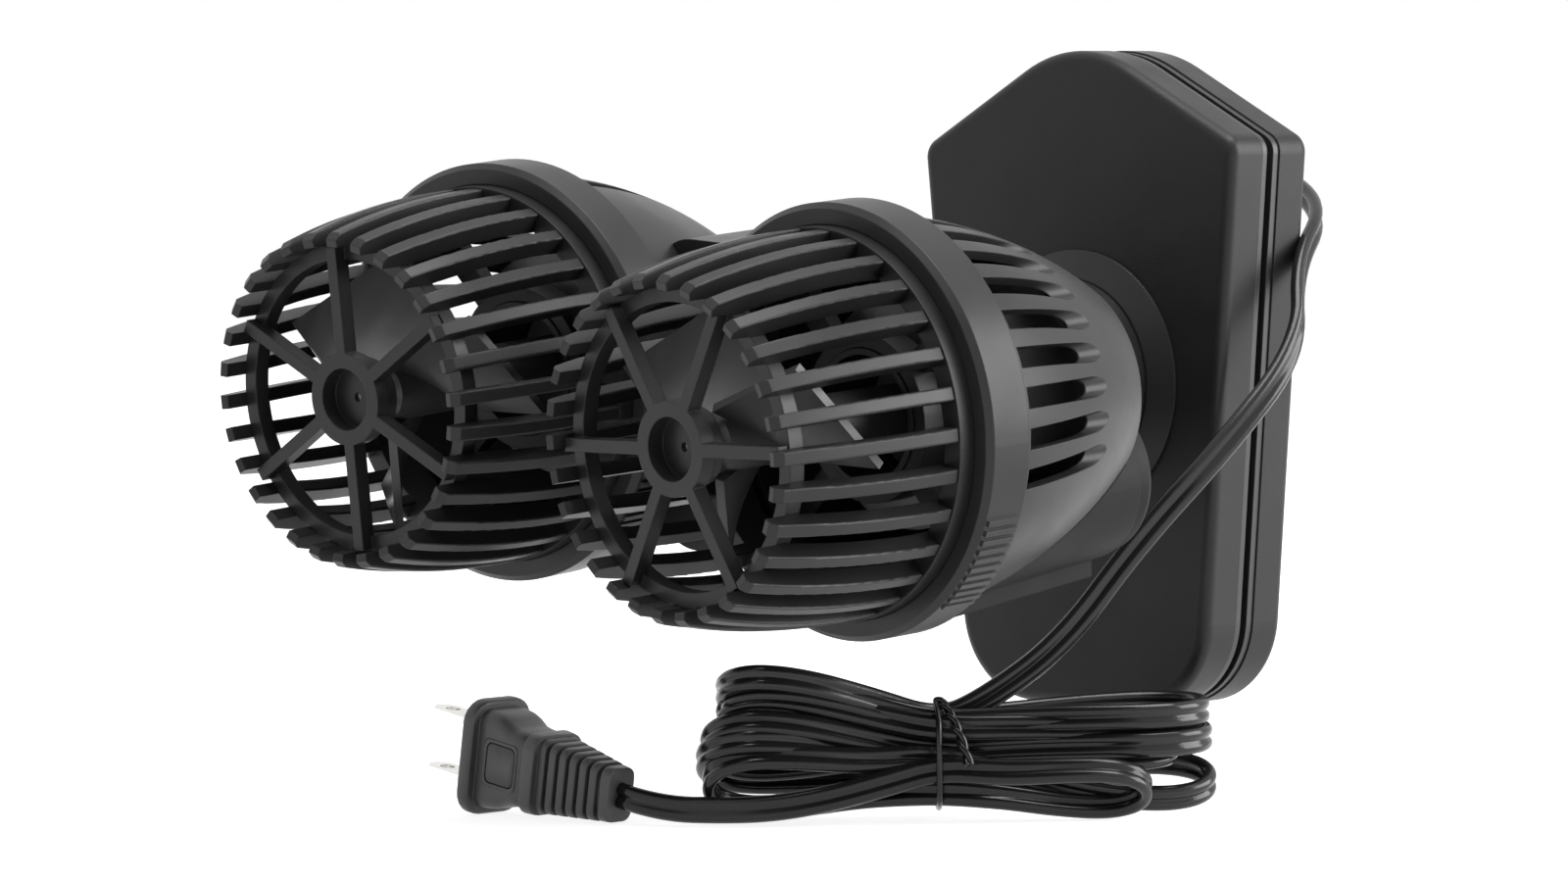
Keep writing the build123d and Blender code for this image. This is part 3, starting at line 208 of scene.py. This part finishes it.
def smooth_line(points):
    """Points along the NURBS spline that has the given control points."""
    data = bpy.data.curves.new("cord_line", "CURVE")
    data.dimensions = "3D"
    spline = data.splines.new("NURBS")
    spline.points.add(len(points) - 1)
    for knot, point in zip(spline.points, points):
        knot.co = (*metres(point), 1)
    spline.order_u = SPLINE_ORDER
    spline.use_endpoint_u = True
    spline.resolution_u = SPLINE_STEPS
    holder = bpy.data.objects.new("cord_line", data)
    mesh = bpy.data.meshes.new_from_object(holder)
    line = [vertex.co.copy() for vertex in mesh.vertices]
    bpy.data.meshes.remove(mesh)
    bpy.data.objects.remove(holder)
    bpy.data.curves.remove(data)
    return line


def new_piece(name, vertices, faces, body=None):
    mesh = bpy.data.meshes.new(name)
    mesh.from_pydata([tuple(v) for v in vertices], [], faces)
    mesh.validate()
    for polygon in mesh.polygons:
        polygon.use_smooth = True
    piece = bpy.data.objects.new(name, mesh)
    bpy.context.scene.collection.objects.link(piece)
    if body:
        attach(piece, body)
    return piece


def ring_faces(rings, count):
    """Faces through rings of equal counts of vertices, closed at both ends."""
    faces = []
    for ring in range(rings - 1):
        for side in range(count):
            following = (side + 1) % count
            faces.append((
                ring * count + side, ring * count + following,
                (ring + 1) * count + following, (ring + 1) * count + side,
            ))
    faces.append(tuple(range(count))[::-1])
    last = (rings - 1) * count
    faces.append(tuple(range(last, last + count)))
    return faces


def joined(meshes):
    """Vertices and faces of several meshes as one."""
    vertices, faces = [], []
    for found, sides in meshes:
        faces += [tuple(index + len(vertices) for index in face) for face in sides]
        vertices += found
    return vertices, faces


def tube_mesh(line, wides, section):
    """Vertices and faces of a section carried along a line, closed at both ends."""
    vertices = []
    for index, place in enumerate(line):
        before = line[max(index - 1, 0)]
        after = line[min(index + 1, len(line) - 1)]
        along = (after - before).normalized()
        wide = (wides[index] - along * wides[index].dot(along)).normalized()
        thick = along.cross(wide)
        for across, out in section:
            vertices.append(place + wide * across * MM + thick * out * MM)
    return vertices, ring_faces(len(line), len(section))


def make_cord():
    controls = cord_points()
    line = smooth_line([point for point, _ in controls])
    spans = len(controls) - 2
    wides = []
    for index in range(len(line)):
        along = spans * index / (len(line) - 1) + 0.5
        first = min(int(along), spans)
        share = along - first
        wides.append(controls[first][1].lerp(controls[first + 1][1], share))
    vertices, faces = tube_mesh(line, wides, cord_section())
    cord = new_piece("flat_cord", vertices, faces)
    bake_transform(cord)
    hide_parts("cord_run", "cord_hank", "cord_lead")
    length = sum((b - a).length for a, b in zip(line, line[1:]))
    return cord, line, length


cord, cord_line, cord_length = make_cord()

# --------------------------------------------------------------------------- twist tie
TIE_RADIUS = 0.65
TIE_LOOP = [
    (9.2, 23.0), (11.6, 19.5), (11.9, 13.0), (11.2, 6.5), (8.0, 3.6), (0.0, 2.6), (-7.5, 3.6),
    (-10.8, 7.0), (-11.3, 14.0), (-10.6, 20.5), (-8.0, 24.0), (-1.0, 25.0),
]
TIE_FOOT = 5  # which of the loop's places lies under the hank
TIE_KNOT = (4.2, 25.6)
TIE_TAIL = 13.0
TIE_TAIL_WAY = (0.8, 0.45, -0.28)  # towards the front, along the hank, up
TIE_TAIL_SAG = 9.0
TIE_TURNS = 2.5
TIE_TWIST_RADIUS = 0.6
TIE_STEPS = 10
TIE_SIDES = 8


def round_section(radius, sides):
    return [
        (radius * cos(2 * pi * side / sides), radius * sin(2 * pi * side / sides))
        for side in range(sides)
    ]


def tie_wire(turned_by):
    """One end of the tie: half of the loop, then its strand of the twisted tail."""
    half = TIE_LOOP[:TIE_FOOT + 1] if turned_by == 0 else TIE_LOOP[TIE_FOOT:][::-1]
    points = [hank_place(TIE_SHIFT, *place) for place in half][::-1]
    start = hank_place(TIE_SHIFT, *TIE_KNOT)
    toward, along, up = TIE_TAIL_WAY
    out = (HANK_TOWARD * toward + HANK_ALONG * along + UP * up).normalized()
    side = out.cross(UP).normalized()
    rise = side.cross(out)
    count = round(TIE_TURNS * TIE_STEPS)
    for step in range(count + 1):
        share = step / count
        angle = turned_by + 2 * pi * TIE_TURNS * share
        sag = UP * (-TIE_TAIL_SAG * share**2)
        ring = side * cos(angle) + rise * sin(angle)
        points.append(start + out * TIE_TAIL * share + sag + ring * TIE_TWIST_RADIUS)
    return points


def make_tie():
    section = round_section(TIE_RADIUS, TIE_SIDES)
    lines = [smooth_line(tie_wire(turned_by)) for turned_by in (0, pi)]
    wires = [tube_mesh(line, [HANK_ALONG] * len(line), section) for line in lines]
    tie = new_piece("twist_tie", *joined(wires), "mount")
    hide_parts("cord_tie")
    return tie


tie = make_tie()

# -------------------------------------------------------------------------------- plug
# The plug's own frame: along from its cord end, up, and out to the side that shows.
PLUG_SLOPE = radians(9.5)
PLUG_ALONG = Vector((-cos(PLUG_SLOPE), 0, sin(PLUG_SLOPE)))
PLUG_UP = Vector((sin(PLUG_SLOPE), 0, cos(PLUG_SLOPE)))
PLUG_SIDE = Vector((0, -1, 0))
RELIEF_LENGTH = 22.8
GRIP_LENGTH = 15.0
FLANGE_THICK = 3.2
FLANGE_HEIGHT = 25.0
FLANGE_WIDTH = 17.5
GRIP_WIDTH = 13.0
# Rings of the grip: share of its length, low edge, high edge, width.
GRIP_RINGS = [
    (0.0, -7.6, 7.6, 12.2),
    (0.06, -8.0, 8.0, GRIP_WIDTH),
    (0.3, -8.3, 8.3, GRIP_WIDTH),
    (0.42, -8.8, 8.7, GRIP_WIDTH),
    (0.54, -9.6, 9.8, GRIP_WIDTH),
    (0.66, -10.1, 10.5, GRIP_WIDTH),
    (0.8, -10.5, 10.8, GRIP_WIDTH),
    (1.0, -10.8, 10.8, GRIP_WIDTH),
]
GRIP_CORNER = 3.0
CORNER_STEPS = 5
PLUG_ROUNDING = 0.28
# Rings of the flange: place from the grip's end, and how far in from the full flange.
FLANGE_CORNER = 5.0
FLANGE_RINGS = [
    (-0.2, 0.5),
    (0.35, 0.05),
    (FLANGE_THICK - 0.7, 0.0),
    (FLANGE_THICK, 0.6),
]
# The panel on the grip: from and to along it, low and high edge. Its raised rim's rings:
# how far out of the grip's side, and how far in from the panel's edge.
PANEL = (2.2, 12.8, -5.2, 5.4)
PANEL_CORNER = 1.5
PANEL_RIM = [(0.05, 0.0), (0.28, 0.35), (0.28, 0.75), (-0.28, 1.15)]


def plug_point(along, up, side):
    return Vector(PLUG_TIP) + PLUG_ALONG * along + PLUG_UP * up + PLUG_SIDE * side


def rounded_ring(low, high, width, corner):
    """Rounded rectangle as (up, side) points, from its top on the side that shows."""
    half = width / 2
    ring = []
    for up, side, first in (
        (high - corner, half - corner, 0), (low + corner, half - corner, 1),
        (low + corner, corner - half, 2), (high - corner, corner - half, 3),
    ):
        for step in range(CORNER_STEPS + 1):
            angle = pi / 2 * (first + step / CORNER_STEPS)
            ring.append((up + corner * cos(angle), side + corner * sin(angle)))
    return ring


# Edges sharper than this get a rounding of some steps.
SHARP_EDGE = radians(38)
ROUNDING_STEPS = 3
ROUNDING_FULLNESS = 0.6


def blocks_piece(name, blocks, body, rounding):
    """A piece of several closed blocks, each lofted through its rings, with rounded edges."""
    meshes = []
    for rings in blocks:
        vertices = [metres(point) for ring in rings for point in ring]
        meshes.append((vertices, ring_faces(len(rings), len(rings[0]))))
    piece = new_piece(name, *joined(meshes), body)
    mesh = bmesh.new()
    mesh.from_mesh(piece.data)
    bmesh.ops.recalc_face_normals(mesh, faces=mesh.faces)
    sharp = [edge for edge in mesh.edges if edge.calc_face_angle(0) > SHARP_EDGE]
    bmesh.ops.bevel(
        mesh, geom=sharp, offset=rounding * MM, segments=ROUNDING_STEPS, affect="EDGES",
        profile=ROUNDING_FULLNESS, clamp_overlap=True,
    )
    mesh.to_mesh(piece.data)
    mesh.free()
    for polygon in piece.data.polygons:
        polygon.use_smooth = True
    return piece


def plug_ring(along, low, high, width, corner):
    return [plug_point(along, up, side) for up, side in rounded_ring(low, high, width, corner)]


def make_plug():
    start = RELIEF_LENGTH
    grip = [
        plug_ring(start + GRIP_LENGTH * share, low, high, width, GRIP_CORNER)
        for share, low, high, width in GRIP_RINGS
    ]
    root = start + GRIP_LENGTH
    half = FLANGE_HEIGHT / 2
    flange = []
    for at, less in FLANGE_RINGS:
        width = FLANGE_WIDTH - 2 * less
        corner = FLANGE_CORNER - less
        flange.append(plug_ring(root + at, less - half, half - less, width, corner))
    first, last, low, high = PANEL
    middle = (low + high) / 2
    rim = []
    for out, less in PANEL_RIM:
        ring = rounded_ring(first + less, last - less, high - low - 2 * less, PANEL_CORNER)
        side = GRIP_WIDTH / 2 + out
        rim.append([plug_point(start + along, middle + up, side) for along, up in ring])
    piece = blocks_piece("plug_moulding", [grip, flange, rim], "mount", PLUG_ROUNDING)
    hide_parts("plug_body")
    return piece


# The relief: a core with rings between an end block and a collar that enters the grip.
# Each block has a height, a width and a corner radius, and the rings grow one by one.
RELIEF_END = 2.4
RELIEF_END_BLOCK = (12.0, 8.0, 2.2)
RELIEF_CORE_START = 1.0
RELIEF_CORE_BLOCK = (9.0, 6.5, 2.2)
RELIEF_COLLAR = 3.0
RELIEF_COLLAR_ENTERS = 0.2
RELIEF_COLLAR_BLOCK = (17.6, 14.8, 3.4)
RELIEF_DRAFT = 0.2
RELIEF_ROUNDING = 0.3
RELIEF_RINGS = 6
RING_LENGTH = 1.8
RING_HEIGHT, RING_HEIGHT_GROWS = 12.8, 0.7
RING_WIDTH, RING_WIDTH_GROWS = 9.0, 0.5
RING_CORNER = 2.4


def relief_block(near, far, height, width, corner):
    half = height / 2
    less = RELIEF_DRAFT
    return [
        plug_ring(near, less - half, half - less, width - 2 * less, corner),
        plug_ring(far, -half, half, width, corner),
    ]


def make_relief():
    collar_start = RELIEF_LENGTH - RELIEF_COLLAR
    collar_end = RELIEF_LENGTH + RELIEF_COLLAR_ENTERS
    pitch = (collar_start - RELIEF_END) / RELIEF_RINGS
    blocks = [
        relief_block(0, RELIEF_END, *RELIEF_END_BLOCK),
        relief_block(RELIEF_CORE_START, RELIEF_LENGTH, *RELIEF_CORE_BLOCK),
    ]
    for number in range(RELIEF_RINGS):
        near = RELIEF_END + pitch * (number + 1) - RING_LENGTH
        height = RING_HEIGHT + RING_HEIGHT_GROWS * number
        width = RING_WIDTH + RING_WIDTH_GROWS * number
        blocks.append(relief_block(near, near + RING_LENGTH, height, width, RING_CORNER))
    blocks.append(relief_block(collar_start, collar_end, *RELIEF_COLLAR_BLOCK))
    piece = blocks_piece("plug_cord_relief", blocks, "mount", RELIEF_ROUNDING)
    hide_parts("plug_relief")
    return piece


plug = make_plug()
relief = make_relief()

# --------------------------------------------------------------------------- materials


class Finish:
    """A procedural material with grain, drifting colour and drifting roughness."""

    def __init__(self, name):
        self.material = bpy.data.materials.new(name)
        self.material.use_nodes = True
        self.tree = self.material.node_tree
        self.shader = self.tree.nodes["Principled BSDF"]
        self.place = self.tree.nodes.new("ShaderNodeTexCoord").outputs["Object"]
        self.relief = []

    def node(self, kind, **inputs):
        made = self.tree.nodes.new(kind)
        for name, value in inputs.items():
            self.feed(made.inputs[name.replace("_", " ")], value)
        return made

    def feed(self, socket, value):
        if isinstance(value, bpy.types.NodeSocket):
            self.tree.links.new(value, socket)
        else:
            socket.default_value = value

    def noise(self, scale, detail=2.0, stretch=(1, 1, 1)):
        place = self.place
        if stretch != (1, 1, 1):
            place = self.node("ShaderNodeMapping", Vector=place, Scale=stretch).outputs[0]
        made = self.node("ShaderNodeTexNoise", Vector=place, Scale=scale, Detail=detail)
        return made.outputs["Fac"]

    def spread(self, value, low, high, first=0.3, last=0.7):
        made = self.tree.nodes.new("ShaderNodeMapRange")
        for socket, given in zip(made.inputs, (value, first, last, low, high)):
            self.feed(socket, given)
        return made.outputs[0]

    def colour(self, low, high, scale, detail=3.0):
        mix = self.tree.nodes.new("ShaderNodeMix")
        mix.data_type = "RGBA"
        self.feed(mix.inputs["Factor"], self.spread(self.noise(scale, detail), 0, 1))
        self.feed(mix.inputs["A"], (*low, 1))
        self.feed(mix.inputs["B"], (*high, 1))
        self.feed(self.shader.inputs["Base Color"], mix.outputs["Result"])
        return self

    def rough(self, low, high, scale, detail=2.0):
        value = self.spread(self.noise(scale, detail), low, high)
        self.feed(self.shader.inputs["Roughness"], value)
        return self

    def bump(self, value, depth):
        """Adds a height from 0 to 1, as deep as depth in metres."""
        made = self.node("ShaderNodeBump", Height=value, Strength=1.0, Distance=depth)
        if self.relief:
            self.feed(made.inputs["Normal"], self.relief[-1])
        self.relief.append(made.outputs["Normal"])
        self.feed(self.shader.inputs["Normal"], self.relief[-1])
        return self

    def rounded(self, radius, samples=4):
        """Catches light on edges, as moulded edges do."""
        made = self.node("ShaderNodeBevel", Radius=radius)
        made.samples = samples
        self.relief.append(made.outputs["Normal"])
        self.feed(self.shader.inputs["Normal"], self.relief[-1])
        return self

    def set(self, **inputs):
        for name, value in inputs.items():
            self.shader.inputs[name.replace("_", " ")].default_value = value
        return self.material


def grey(value, tint=1.03):
    return (value, value, value * tint)


SURFACES = {}
# Lengths and depths are in metres, and scales count waves per metre.
MOULD_EDGE = 0.0004
COLOUR_DRIFT = 60
GLOSS_DRIFT = 90
SINK_SCALE, SINK_DEPTH = 55, 0.00006
METAL_EDGE = 0.00025
METAL_DRIFT = 180
STREAK_SCALE, STREAK_DEPTH = 900, 0.000008
DARK_GLOSS = 0.25
# The barrels' painted shade also lowers their gloss.
SHADED_BARREL_GLOSS = 0.12
CORD_GLOSS = 0.35


def moulded(name, dark, light, rough, grain, depth, edge=MOULD_EDGE, **rest):
    """Adds a surface with a grain of some scale and depth over slow waves."""
    made = Finish(name).colour(grey(dark), grey(light), COLOUR_DRIFT)
    if edge:
        made.rounded(edge)
    made.rough(*rough, GLOSS_DRIFT)
    made.bump(made.noise(grain, 2.0), depth)
    made.bump(made.noise(SINK_SCALE, 1.0), SINK_DEPTH)
    SURFACES[name] = made.set(**rest)


def brushed(name, dark, light, rough, stretch):
    """Adds a metal with streaks in its gloss."""
    made = Finish(name).colour(dark, light, METAL_DRIFT).rounded(METAL_EDGE)
    streaks = made.noise(STREAK_SCALE, 2.0, stretch)
    made.feed(made.shader.inputs["Roughness"], made.spread(streaks, *rough))
    made.bump(streaks, STREAK_DEPTH)
    SURFACES[name] = made.set(Metallic=1.0)


moulded(
    "mount_plastic", 0.011, 0.014, (0.38, 0.46), 2600, 0.000025, Specular_IOR_Level=DARK_GLOSS
)
moulded("mount_plate", 0.014, 0.019, (0.36, 0.44), 3000, 0.00001)
moulded("glass_pad", 0.01, 0.014, (0.75, 0.9), 1600, 0.00004, edge=0)
moulded("magnet", 0.2, 0.26, (0.3, 0.42), 1800, 0.00001, edge=0, Metallic=0.8)
moulded(
    "satin_plastic", 0.016, 0.02, (0.34, 0.42), 2200, 0.000012, Specular_IOR_Level=DARK_GLOSS
)
# A darker, less glossy copy of satin_plastic for the barrels: painted shade under the housing's
# overhang.
moulded(
    "barrel_painted_shade", 0.011, 0.014, (0.5, 0.58), 2200, 0.000012, Specular_IOR_Level=SHADED_BARREL_GLOSS
)
moulded(
    "cage_plastic", 0.014, 0.018, (0.32, 0.4), 2400, 0.000014, Specular_IOR_Level=DARK_GLOSS
)
# The impeller's grey is kept dark (0.03 to 0.04) as painted shade inside the cage.
moulded("impeller_plastic", 0.03, 0.04, (0.32, 0.42), 2000, 0.00001, edge=0)
moulded("nylon", 0.55, 0.62, (0.35, 0.45), 1800, 0.00001, edge=0)
moulded("ceramic", 0.76, 0.82, (0.12, 0.2), 3000, 0.000004, edge=0)
moulded("rotor_magnet", 0.05, 0.07, (0.4, 0.55), 1500, 0.00002, edge=0)
moulded("seal_rubber", 0.012, 0.016, (0.6, 0.75), 1500, 0.00003, edge=0)
moulded("copper_coil", 0.16, 0.22, (0.4, 0.5), 900, 0.00005, edge=0, Metallic=0.7)
moulded(
    "cord_pvc", 0.01, 0.014, (0.16, 0.24), 1300, 0.00002, edge=0, Specular_IOR_Level=CORD_GLOSS
)
moulded("plug_pvc", 0.085, 0.1, (0.36, 0.46), 2400, 0.00003)
brushed("steel", (0.5, 0.51, 0.53), (0.6, 0.61, 0.62), (0.18, 0.3), (1, 1, 8))
brushed("blade_metal", (0.68, 0.67, 0.64), (0.8, 0.79, 0.77), (0.16, 0.28), (0.4, 3, 6))


def paint(piece, surface):
    piece.data.materials.clear()
    piece.data.materials.append(SURFACES[surface])


for subpart in frame["record"]["subparts"]:
    paint(frame["nodes"][subpart["node"]], subpart["material_slot"])
# The barrels get the darker copy of satin_plastic, as painted shade under the housing.
for side in ("left", "right"):
    for name in ("barrel", "barrel_cap"):
        paint(frame["nodes"][f"{side}_{name}"], "barrel_painted_shade")
for piece in (cord, tie):
    paint(piece, "cord_pvc")
for piece in (plug, relief):
    paint(piece, "plug_pvc")

# --------------------------------------------------------------------- floor and light
FLOOR_SIZE = 3.0
FLOOR_GLOW = 0.86
FLOOR_MATTE = 0.5
# Between these distances in metres the floor's glow rises to the white background's.
GLOW_NEAR, GLOW_FAR = 0.25, 0.7
WORLD_GREY = 0.4
LAMP_AIM = (0, -0.08, 0)


def background_rays(tree):
    """1 for the rays that show the white background, 0 for those that light the object."""
    path = tree.nodes.new("ShaderNodeLightPath")
    found = path.outputs["Is Camera Ray"]
    for kind in ("Is Glossy Ray", "Is Transmission Ray"):
        both = tree.nodes.new("ShaderNodeMath")
        both.operation = "MAXIMUM"
        tree.links.new(found, both.inputs[0])
        tree.links.new(path.outputs[kind], both.inputs[1])
        found = both.outputs[0]
    return found


def make_floor():
    mesh = bpy.data.meshes.new("floor")
    corners = [(-FLOOR_SIZE, -FLOOR_SIZE), (FLOOR_SIZE, -FLOOR_SIZE)]
    corners += [(FLOOR_SIZE, FLOOR_SIZE), (-FLOOR_SIZE, FLOOR_SIZE)]
    mesh.from_pydata([(x, y, FLOOR_Z * MM) for x, y in corners], [], [(0, 1, 2, 3)])
    floor = bpy.data.objects.new("floor", mesh)
    bpy.context.scene.collection.objects.link(floor)
    made = Finish("floor")
    tree = made.tree
    seen = background_rays(tree)
    glow = made.node("ShaderNodeEmission", Strength=1.0)
    away = made.node("ShaderNodeVectorMath")
    away.operation = "LENGTH"
    made.feed(away.inputs[0], made.place)
    level = made.node("ShaderNodeMath")
    level.operation = "MULTIPLY"
    made.feed(level.inputs[0], seen)
    rise = made.spread(away.outputs["Value"], FLOOR_GLOW, 1.0, GLOW_NEAR, GLOW_FAR)
    made.feed(level.inputs[1], rise)
    made.feed(glow.inputs["Strength"], level.outputs[0])
    matte = made.node("ShaderNodeBsdfDiffuse", Color=(*grey(FLOOR_MATTE, 1.0), 1))
    both = tree.nodes.new("ShaderNodeAddShader")
    made.feed(both.inputs[0], glow.outputs[0])
    made.feed(both.inputs[1], matte.outputs[0])
    made.feed(tree.nodes["Material Output"].inputs["Surface"], both.outputs[0])
    mesh.materials.append(made.material)


def make_world():
    world = bpy.data.worlds.new("studio")
    bpy.context.scene.world = world
    world.use_nodes = True
    tree = world.node_tree
    dim = tree.nodes["Background"]
    dim.inputs["Color"].default_value = (*grey(WORLD_GREY, 1.0), 1)
    white = tree.nodes.new("ShaderNodeBackground")
    white.inputs["Color"].default_value = (1, 1, 1, 1)
    mix = tree.nodes.new("ShaderNodeMixShader")
    tree.links.new(background_rays(tree), mix.inputs["Fac"])
    tree.links.new(dim.outputs[0], mix.inputs[1])
    tree.links.new(white.outputs[0], mix.inputs[2])
    tree.links.new(mix.outputs[0], tree.nodes["World Output"].inputs["Surface"])


def make_panel(name, place, size, power):
    """A lamp with its place and size in metres and its power in watts."""
    data = bpy.data.lights.new(name, "AREA")
    data.shape = "RECTANGLE"
    data.size, data.size_y = size
    data.energy = power
    lamp = bpy.data.objects.new(name, data)
    bpy.context.scene.collection.objects.link(lamp)
    lamp.location = place
    lamp.rotation_mode = "QUATERNION"
    lamp.rotation_quaternion = (Vector(LAMP_AIM) - Vector(place)).to_track_quat("-Z", "Y")


make_floor()
make_world()
make_panel("side_panel", (1.5, 0.95, 0.4), (1.5, 1.7), 62)
make_panel("top_panel", (0.3, -0.2, 1.5), (1.3, 1.0), 30)

bpy.context.scene.view_settings.view_transform = "Standard"
